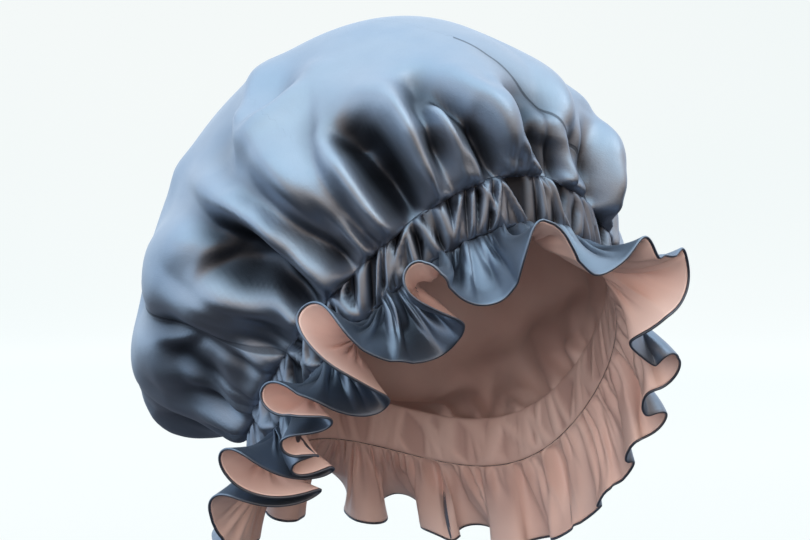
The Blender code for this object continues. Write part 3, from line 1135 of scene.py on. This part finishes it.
@dataclass
class Ruffle:
    """Deep fluted frill of two layers, blue outside and pink inside, with a turned hem."""

    band: Band
    casing_width: float = 0.025
    clearance: float = -0.0005
    depth: float = 0.0445
    root_flare: float = math.radians(30.0)
    flute_opening: float = 0.5
    hidden_flutes: int = 11
    plain_flare: float = 54.0
    plain_flare_swing: float = 29.0
    plain_sway: float = 3.0
    side_hang: float = 0.8
    rows_a_flute: int = 6
    hem_samples: int = 16
    hem_step: float = 0.001
    hem_rounding: float = 0.005
    columns: int = 1500
    rows: int = 24
    cloth: float = 0.0004
    roll: float = 0.0004
    turn_back: float = 0.0004
    flat_length: float = 1.36
    stitch_hold: float = 0.003
    row_spread: float = 1.15
    # Fold height range over which the root creases are painted darker: a painted shade.
    hollow_shade_range: tuple[float, float] = (-0.0018, 0.0028)
    gathers: tuple[Gathers, ...] = (
        Gathers(count=190, seed=31, width=0.0019, height=0.0028, reach=0.016, slant=0.15, spread=1.0),
        Gathers(count=66, seed=32, width=0.0056, height=0.0095, reach=0.052, slant=0.12, spread=0.4),
    )
    pleats: Gathers = Gathers(
        count=130, seed=33, width=0.0040, height=0.0036, reach=0.040, slant=0.20, spread=0.3
    )

    def turns(self) -> Array:
        """Turns of the whole hem: those that show, then plain flutes round the side and back.

        Returns:
            Rows as in HEM_TURNS, once round the band.
        """
        rows = [tuple(row) for row in HEM_TURNS]
        start = HEM_TURNS[-1][0]
        end = HEM_TURNS[0][0] - 360
        count = self.hidden_flutes * self.rows_a_flute
        for number in range(1, count):
            root = start + (end - start) * number / count
            phase = 2 * math.pi * number / self.rows_a_flute
            swing = self.plain_flare_swing * (1 + 0.15 * math.sin(1.9 * number))
            hang = 1 - self.side_hang * abs(math.sin(math.radians(root)))
            flare = (self.plain_flare - swing * math.cos(phase)) * hang
            rows.append((root, root - self.plain_sway * math.sin(2 * phase), flare))
        return np.array(rows)

    @property
    def lap(self) -> Array:
        """What one turn round the band adds to root, hem and flare."""
        return np.array((2 * math.pi, 2 * math.pi, 0.0))

    def rounded(self, course: Array, window: int) -> Array:
        """Ease the corners of a closed course by averaging each place with its neighbours.

        Args:
            course: Root, hem and flare at even steps along the hem.
            window: How many neighbours count on each side.

        Returns:
            The eased course.
        """
        eased = course
        for _ in range(2):
            total = np.zeros_like(course)
            for shift in range(-window, window + 1):
                moved = np.roll(eased, shift, axis=0)
                if shift > 0:
                    moved[:shift] += self.lap
                if shift < 0:
                    moved[shift:] -= self.lap
                total += moved
            eased = total / (2 * window + 1)
        return eased

    def hem_steps(self, course: Array) -> Array:
        """Length of each step along the hem of a closed course."""
        line = self.point(course, np.array(1.0))
        return np.linalg.norm(np.roll(line, -1, axis=0) - line, axis=1)

    def spread(self, course: Array, weights: Array, count: int) -> Array:
        """Read a closed course at places that are even by its weights.

        Args:
            course: Root, hem and flare.
            weights: Length of the step after each place.
            count: How many places are read.

        Returns:
            The new course.
        """
        running = np.concatenate(((0.0,), np.cumsum(weights)))
        closed = np.vstack((course, course[:1] - self.lap))
        even = np.arange(count) * running[-1] / count
        return np.stack([np.interp(even, running, closed[:, column]) for column in range(3)], axis=1)

    def course(self) -> Array:
        """Course of the cloth round the band.

        Returns:
            Root, hem and flare in radians at even steps along the hem.
        """
        rows = self.turns()
        lap = np.degrees(self.lap)
        count = len(rows)
        shared = 3
        rows = np.vstack((rows[-shared:] + lap, rows, rows[:shared] - lap))
        at = np.arange(count * self.hem_samples) / self.hem_samples
        course = np.radians(smooth_curve(np.arange(len(rows)) - float(shared), rows, at))
        steps = self.hem_steps(course)
        samples = round(steps.sum() / self.hem_step)
        course = self.rounded(self.spread(course, steps, samples), round(self.hem_rounding / self.hem_step))
        return self.spread(course, self.hem_steps(course), self.columns)

    def point(self, course: Array, share: Array) -> Array:
        """Middle of the two layers.

        Args:
            course: Root, hem and flare in radians, on the last axis.
            share: Share of the depth, 0 at the casing and 1 at the hem.

        Returns:
            Points on the last axis.
        """
        root, hem, flare = course[..., 0], course[..., 1], course[..., 2]
        opening = np.power(share, self.flute_opening)
        angle = root + (hem - root) * share
        lift = self.root_flare + (flare - self.root_flare) * opening
        reach = self.depth * share
        start = self.casing_width / 2 + self.clearance + 2 * GAP
        outward = (reach * np.sin(lift))[..., None] * self.band.outward(angle)
        downward = (start + reach * np.cos(lift))[..., None] * self.band.up
        return self.band.point(angle) + outward - downward

    def middle(self) -> tuple[Array, Array, Array]:
        """Middle surface with its small root folds.

        Returns:
            Points as columns by rows by three, the directions square to them on the outer side, and the
            painted shade of each point, from 0 to 1, by how deep it lies between the folds and fading towards
            the hem.
        """
        line = self.course()
        course = np.repeat(line[:, None, :], self.rows + 1, axis=1)
        shares = np.linspace(0.0, 1.0, self.rows + 1) ** self.row_spread
        share = np.repeat(shares[None, :], self.columns, axis=0)
        grid = self.point(course, share)
        around = course[..., 0] / (2 * math.pi) * self.band.girth
        away = share * self.depth
        heights = [gathers.heights(around, away, self.band.girth) for gathers in self.gathers]
        steps = self.hem_steps(line)
        running = np.repeat(np.cumsum(steps)[:, None], self.rows + 1, axis=1)
        folds = np.max(heights, axis=0) + self.pleats.heights(running, away, float(steps.sum()))
        folds = folds * (1 - np.exp(-away / self.stitch_hold))
        # Painted shade: the creases between the root folds are painted darker, less so towards the hem.
        hollow = smooth_step(-folds, *self.hollow_shade_range) * (1 - smooth_step(share, 0.45, 1.0))
        outward = sheet_normals(grid)
        return grid + folds[..., None] * outward, outward, hollow

    def rolled(self, grid: Array, outward: Array) -> Array:
        """Carry the outer layer round the hem and back over the lining.

        Args:
            grid: Outer layer, its last row at the hem.
            outward: Directions out of the layer.

        Returns:
            The layer with its last row pulled back and the rows of the turned hem added.
        """
        down = unit(grid[:, -1] - grid[:, -2])
        out = outward[:, -1]
        centre = grid[:, -1] - self.roll * (down + out)
        rows = [grid[:, :-1]]
        for turn in np.radians((90, 60, 30, 0, -30, -60, -90)):
            rows.append((centre + self.roll * (math.sin(turn) * out + math.cos(turn) * down))[:, None])
        rows.append((centre - self.roll * out - self.turn_back * down)[:, None])
        return np.concatenate(rows, axis=1)

    def build_layer(self, layer: Layer) -> bpy.types.Object:
        """Model one layer of the frill.

        Args:
            layer: Which one.

        Returns:
            The closed mesh.
        """
        grid, outward, hollow = self.middle()
        grid = grid + layer.value * self.roll * outward
        if layer is Layer.OUTER:
            grid = self.rolled(grid, outward)
        else:
            last = grid[:, -1] - grid[:, -2]
            grid[:, -1] -= unit(last) * (self.roll + self.turn_back + GAP)
        steps = self.hem_steps(self.course())
        edges = np.concatenate(((0.0,), np.cumsum(steps)))
        lengths = np.arange(grid.shape[1]) * self.depth / self.rows
        cloth = np.stack(np.meshgrid(edges, lengths, indexing="ij"), axis=-1)
        # The last row counts as a seam, so the satin is painted dark in a thin line at the hem: a painted
        # shadow.
        gap_row = np.full(grid.shape[1], NO_SEAM)
        gap_row[-1] = 0.0
        added = grid.shape[1] - hollow.shape[1]
        # The shade mask paints the root creases darker; the rows of the turned hem get none of it.
        numbers = {
            "seam": np.repeat(gap_row[None, :], self.columns, axis=0),
            "hollow": np.pad(hollow, ((0, 0), (0, added))),
        }
        name, finish = {
            Layer.OUTER: ("ruffle_satin", SATIN_RUFFLE_SHADED),
            Layer.LINING: ("ruffle_lining_satin", SATIN_PINK),
        }[layer]
        piece = cloth_object(name, grid, cloth, numbers=numbers)
        piece.data.materials.append(finish.material())
        return thicken(piece, self.cloth, 0)

    def dress(self, outer: bpy.types.Object, lining: bpy.types.Object) -> None:
        """Put both layers in the place of their solids.

        Args:
            outer: The finished blue layer.
            lining: The finished pink layer.
        """
        dress(outer, Slot.BLUE, "ruffle")
        dress(lining, Slot.PINK, "ruffle_lining")


@dataclass
class StitchRows:
    """Two rows of running stitches that hold the casing, set along its edges by a node tree."""

    band: Band
    casing: Casing
    pitch: float = 0.0034
    stitch_length: float = 0.0024
    thread: float = 0.00030
    samples: int = 900
    inset: float = 0.0014
    lift: float = 0.75
    tilt: float = 0.09
    seed: int = 5

    def line(self, across: float) -> bpy.types.Object:
        """Draw a closed line over the casing's outer side.

        Args:
            across: Place across the casing, from -1 at the ruffle to 1 at the crown.

        Returns:
            The line as an object of edges.
        """
        angle = np.arange(self.samples) * 2 * math.pi / self.samples
        lift = self.casing.thickness / 2 * self.lift
        points = self.band.point(angle) + lift * self.band.outward(angle)
        points = points + across * self.casing.width / 2 * self.band.up
        mesh = bpy.data.meshes.new("stitch_line")
        edges = [(number, (number + 1) % self.samples) for number in range(self.samples)]
        mesh.from_pydata(points.tolist(), edges, [])
        line = bpy.data.objects.new("stitch_line", mesh)
        bpy.context.scene.collection.objects.link(line)
        return line

    def tree(self, thread: bpy.types.Material) -> tuple[bpy.types.NodeTree, dict[str, str]]:
        """Node tree that lays stitches along a line.

        Args:
            thread: The material that every stitch takes.

        Returns:
            The tree, and the identifiers of its number inputs by name.
        """
        tree = bpy.data.node_groups.new("running_stitches", "GeometryNodeTree")
        face = tree.interface
        face.new_socket("Line", in_out="INPUT", socket_type="NodeSocketGeometry")
        sockets = {}
        for title in ("Pitch", "Stitch Length", "Thread Radius"):
            sockets[title] = face.new_socket(title, in_out="INPUT", socket_type="NodeSocketFloat").identifier
        sockets["Seed"] = face.new_socket("Seed", in_out="INPUT", socket_type="NodeSocketInt").identifier
        face.new_socket("Stitches", in_out="OUTPUT", socket_type="NodeSocketGeometry")

        def add(kind: str, settings: dict[str, object] | None = None, **links: object) -> bpy.types.Node:
            """Add a node.

            Args:
                kind: The node's type.
                settings: The node's own options.
                **links: Values or outputs for its sockets, by name with underscores for spaces.

            Returns:
                The new node.
            """
            node = tree.nodes.new(kind)
            for name, value in (settings or {}).items():
                setattr(node, name, value)
            for name, value in links.items():
                socket = node.inputs[name.replace("_", " ")]
                if isinstance(value, bpy.types.NodeSocket):
                    tree.links.new(value, socket)
                else:
                    socket.default_value = value
            return node

        source = add("NodeGroupInput").outputs
        curve = add("GeometryNodeMeshToCurve", Mesh=source["Line"]).outputs[0]
        places = add("GeometryNodeCurveToPoints", {"mode": "LENGTH"}, Curve=curve, Length=source["Pitch"])
        ball = add("GeometryNodeMeshUVSphere", Segments=8, Rings=6, Radius=source["Thread Radius"])
        half = add("ShaderNodeMath", {"operation": "DIVIDE"})
        tree.links.new(source["Stitch Length"], half.inputs[0])
        tree.links.new(source["Thread Radius"], half.inputs[1])
        stretch = add("ShaderNodeMath", {"operation": "MULTIPLY"})
        tree.links.new(half.outputs[0], stretch.inputs[0])
        stretch.inputs[1].default_value = 0.5
        scale = add("ShaderNodeCombineXYZ", X=1.0, Y=1.0)
        tree.links.new(stretch.outputs[0], scale.inputs["Z"])
        spin = add("FunctionNodeRandomValue", {"data_type": "FLOAT"})
        spin.inputs[2].default_value = -self.tilt
        spin.inputs[3].default_value = self.tilt
        tree.links.new(source["Seed"], spin.inputs["Seed"])
        tilt = add("ShaderNodeCombineXYZ")
        tree.links.new(spin.outputs[1], tilt.inputs["X"])
        turned = add("FunctionNodeRotateRotation", {"rotation_space": "LOCAL"})
        tree.links.new(places.outputs["Rotation"], turned.inputs[0])
        tree.links.new(tilt.outputs[0], turned.inputs[1])
        points, balls = places.outputs["Points"], ball.outputs[0]
        placed = add("GeometryNodeInstanceOnPoints", Points=points, Instance=balls)
        tree.links.new(turned.outputs[0], placed.inputs["Rotation"])
        tree.links.new(scale.outputs[0], placed.inputs["Scale"])
        plain = add("GeometryNodeRealizeInstances", Geometry=placed.outputs[0]).outputs[0]
        smooth = add("GeometryNodeSetShadeSmooth", Geometry=plain).outputs[0]
        finished = add("GeometryNodeSetMaterial", Geometry=smooth, Material=thread).outputs[0]
        result = add("NodeGroupOutput")
        tree.links.new(finished, result.inputs[0])
        return tree, sockets

    def build(self) -> list[bpy.types.Object]:
        """Model both rows.

        Returns:
            One plain mesh for each row.
        """
        tree, sockets = self.tree(THREAD.material())
        edge = 1 - self.inset / (self.casing.width / 2)
        rows = []
        for name, across in (("stitches_crown", edge), ("stitches_ruffle", -edge)):
            row = self.line(across)
            row.name = name
            modifier = row.modifiers.new("stitches", "NODES")
            modifier.node_group = tree
            modifier[sockets["Pitch"]] = self.pitch
            modifier[sockets["Stitch Length"]] = self.stitch_length
            modifier[sockets["Thread Radius"]] = self.thread
            modifier[sockets["Seed"]] = self.seed
            rows.append(settled(row))
        return rows

    def dress(self, rows: list[bpy.types.Object]) -> None:
        """Let both rows ride with the casing."""
        for row in rows:
            dress(row, Slot.CASING)


@dataclass
class Studio:
    """Plain pale surround, soft light and the camera."""

    distance: float = 1.2
    azimuth: float = math.radians(-32.0)
    elevation: float = math.radians(4.0)
    focal_pixels: float = 2460.0
    image_width: float = 810.0
    image_height: float = 540.0
    origin_pixel: tuple[float, float] = (432.1, 366.7)
    sensor: float = 36.0
    floor_drop: float = 0.24
    floor_flat: float = 4.0
    floor_sweep: float = 2.0
    floor_columns: int = 96
    floor_bends: int = 12
    floor_glow: float = 0.97
    floor_low: Colour = (0.83, 0.90, 0.90, 1.0)
    floor_high: Colour = (0.93, 0.95, 0.94, 1.0)
    dark: Colour = (0.014, 0.016, 0.024, 1.0)
    haze: Colour = (0.92, 0.69, 0.53, 1.0)
    sky: Colour = (1.38, 1.78, 1.95, 1.0)
    far_low: Colour = (0.16, 0.17, 0.20, 1.0)
    far_high: Colour = (1.36, 1.62, 1.86, 1.0)
    left_wall: Colour = (1.05, 1.34, 1.58, 1.0)

    @property
    def back(self) -> Vector:
        """Direction from the origin to the camera.

        Returns:
            A unit vector.
        """
        level = math.cos(self.elevation)
        return Vector((
            math.sin(self.azimuth) * level,
            -math.cos(self.azimuth) * level,
            math.sin(self.elevation),
        ))

    @property
    def right(self) -> Vector:
        """Direction to the right in the picture."""
        return Vector((math.cos(self.azimuth), math.sin(self.azimuth), 0.0))

    def camera(self) -> None:
        """Aim the camera so that the origin falls on its pixel."""
        data = bpy.data.cameras.new("camera")
        data.sensor_width = self.sensor
        data.lens = self.focal_pixels * self.sensor / self.image_width
        data.clip_start = 0.05
        data.clip_end = 50.0
        camera = bpy.data.objects.new("camera", data)
        bpy.context.scene.collection.objects.link(camera)
        up = self.back.cross(self.right)
        metres = self.distance / self.focal_pixels
        aside = (self.image_width / 2 - self.origin_pixel[0]) * metres
        above = (self.origin_pixel[1] - self.image_height / 2) * metres
        camera.location = self.back * self.distance
        target = self.right * aside + up * above
        camera.rotation_mode = "QUATERNION"
        camera.rotation_quaternion = (target - camera.location).to_track_quat("-Z", "Y")
        bpy.context.scene.camera = camera

    def floor(self) -> None:
        """Pale floor that sweeps up all round, seen but not lighting the piece."""
        profile = [(0.0, 0.0), (self.floor_flat, 0.0)]
        for bend in np.linspace(0.0, math.pi / 2, self.floor_bends + 1)[1:]:
            out = self.floor_flat + self.floor_sweep * math.sin(bend)
            profile.append((out, self.floor_sweep * (1 - math.cos(bend))))
        profile.append((profile[-1][0], 3 * self.floor_sweep))
        profile = np.array(profile)
        columns = self.floor_columns
        angles = np.arange(columns) * 2 * math.pi / columns
        rows = profile[1:]
        grid = np.stack((
            np.cos(angles)[:, None] * rows[None, :, 0],
            np.sin(angles)[:, None] * rows[None, :, 0],
            np.repeat(rows[None, :, 1], columns, axis=0) - self.floor_drop,
        ), axis=-1)
        cloth = np.zeros((columns + 1, len(rows), 2))
        floor = cloth_object("floor", grid[:, ::-1], cloth, top=np.array((0.0, 0.0, -self.floor_drop)))
        material = bpy.data.materials.new("pale_floor")
        graph = Graph(material)
        shader = graph.tree.nodes["Principled BSDF"]
        cloud = graph.noise(graph.object_place(), 0.6, 1.0)
        pale = graph.mixed(cloud, self.floor_low, self.floor_high)
        graph.feed(shader.inputs["Emission Color"], pale)
        shader.inputs["Emission Strength"].default_value = self.floor_glow
        shader.inputs["Base Color"].default_value = (0.02, 0.02, 0.02, 1.0)
        shader.inputs["Roughness"].default_value = 1.0
        floor.data.materials.append(material)
        floor.visible_diffuse = False
        floor.visible_glossy = False
        floor.visible_shadow = False

    def surround(self) -> None:
        """Light from all round: bright above and behind the piece, dim and warm in front and below."""
        world = bpy.data.worlds.new("studio")
        bpy.context.scene.world = world
        graph = Graph(world)
        place = graph.node("ShaderNodeTexCoord").outputs["Generated"]
        height = Socket(graph, graph.node("ShaderNodeSeparateXYZ", None, {"Vector": place}).outputs["Z"])
        level = (-self.back.x, -self.back.y, 0.0)
        settings = {"operation": "DOT_PRODUCT"}
        into = graph.node("ShaderNodeVectorMath", settings, {0: place, 1: level}).outputs["Value"]
        behind = Socket(graph, into).eased(-0.3, 0.9)
        haze = height.eased(-0.06, 0.26)
        sky = height.eased(0.40, 0.80)
        glow = graph.mixed(haze, self.dark, self.haze)
        glow = graph.mixed(sky, glow, self.sky)
        far = graph.mixed(height.eased(-0.35, 0.25), self.far_low, self.far_high)
        glow = graph.mixed(behind * 0.8, glow, far)
        side = (-self.right.x, -self.right.y, 0.0)
        toward = graph.node("ShaderNodeVectorMath", settings, {0: place, 1: side}).outputs["Value"]
        left = Socket(graph, toward).eased(0.25, 0.95) * height.eased(-0.45, 0.05)
        glow = graph.mixed(left * 0.85, glow, self.left_wall)
        background = graph.tree.nodes["Background"]
        graph.feed(background.inputs["Color"], glow)
        background.inputs["Strength"].default_value = 1.0

    def lamp(
        self, name: str, place: Vector, size: float, power: float, colour: tuple[float, float, float]
    ) -> bpy.types.Object:
        """Add a square soft lamp that faces the bonnet.

        Args:
            name: The lamp's name.
            place: Where it hangs.
            size: Length of its side.
            power: Watts.
            colour: Tint of its light.

        Returns:
            The lamp.
        """
        data = bpy.data.lights.new(name, "AREA")
        data.shape = "SQUARE"
        data.size = size
        data.energy = power
        data.color = colour
        lamp = bpy.data.objects.new(name, data)
        lamp.location = place
        lamp.rotation_mode = "QUATERNION"
        lamp.rotation_quaternion = (Vector((0, 0, 0.03)) - place).to_track_quat("-Z", "Y")
        lamp.visible_camera = False
        bpy.context.scene.collection.objects.link(lamp)
        return lamp

    def build(self) -> None:
        """Set up everything round the bonnet."""
        self.camera()
        self.floor()
        self.surround()
        up = Vector((0.0, 0.0, 1.0))
        over = self.right * 0.9 + up * 1.5 + self.back * 0.5
        self.lamp("key", over, size=0.80, power=2.6, colour=(1.0, 0.97, 0.92))
        front = self.right * -0.3 + up * 0.1 + self.back * 2.2
        fill = self.lamp("front", front, size=1.6, power=25.0, colour=(1.0, 0.95, 0.92))
        fill.visible_glossy = False
        bpy.context.scene.view_settings.view_transform = "Standard"


def main() -> None:
    """Build the bonnet piece by piece."""
    logging.basicConfig(level=logging.INFO, format="%(message)s")
    Studio().build()
    band = Band()
    LOG.info("band: %.3f m round", band.girth)

    crown = Crown(band)
    crown.dress(crown.build())

    casing = Casing(band)
    casing.dress(casing.build())

    ruffle = Ruffle(band)
    ruffle.dress(ruffle.build_layer(Layer.OUTER), ruffle.build_layer(Layer.LINING))

    stitches = StitchRows(band, casing)
    stitches.dress(stitches.build())


if __name__ == "__main__":
    main()
